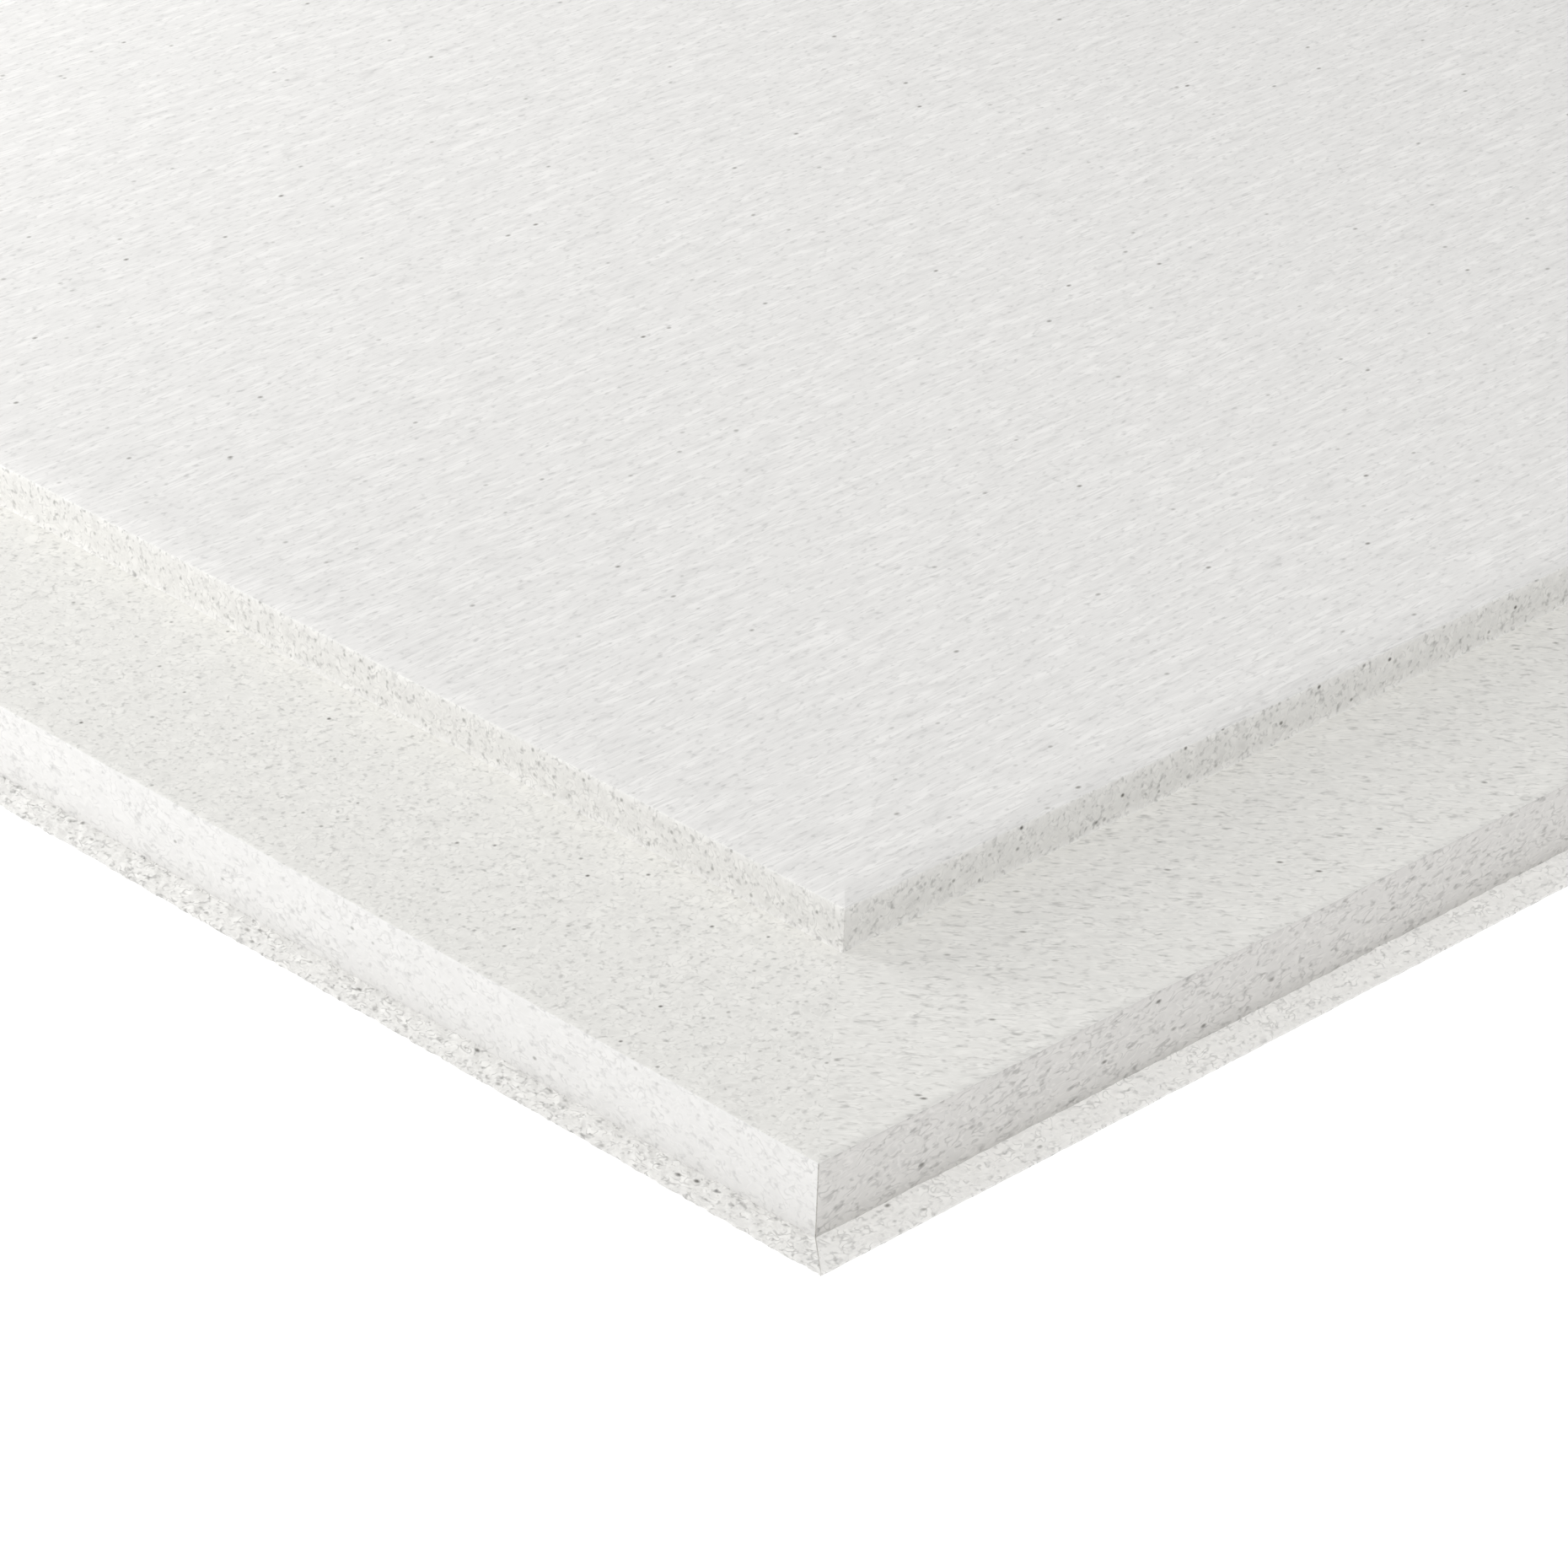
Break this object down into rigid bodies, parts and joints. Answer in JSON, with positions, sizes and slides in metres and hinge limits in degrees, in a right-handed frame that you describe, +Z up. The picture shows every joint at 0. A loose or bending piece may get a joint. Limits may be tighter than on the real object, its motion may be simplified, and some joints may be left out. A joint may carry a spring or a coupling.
{
  "type": "fibre gypsum board",
  "caption": "Flat fibre gypsum floor board with a stepped rebate on the near sides and a matching lap rebate under the far sides.",
  "frame": {"origin": "centre of the bounding box, on the floor under the board", "axes": "+X along the long side, away from the short near side; +Y across the board, away from the long near side; +Z up through the sanded face"},
  "size_m": [1.2412, 0.6376, 0.018],
  "materials": {
    "fibre_gypsum": "matt pressed gypsum with paper fibres: sanded face, milled rebates, sawn edges, rough foot"
  },
  "bodies": {
    "root": {"fibre_gypsum_board": "fibre_gypsum"}
  },
  "joints": []
}
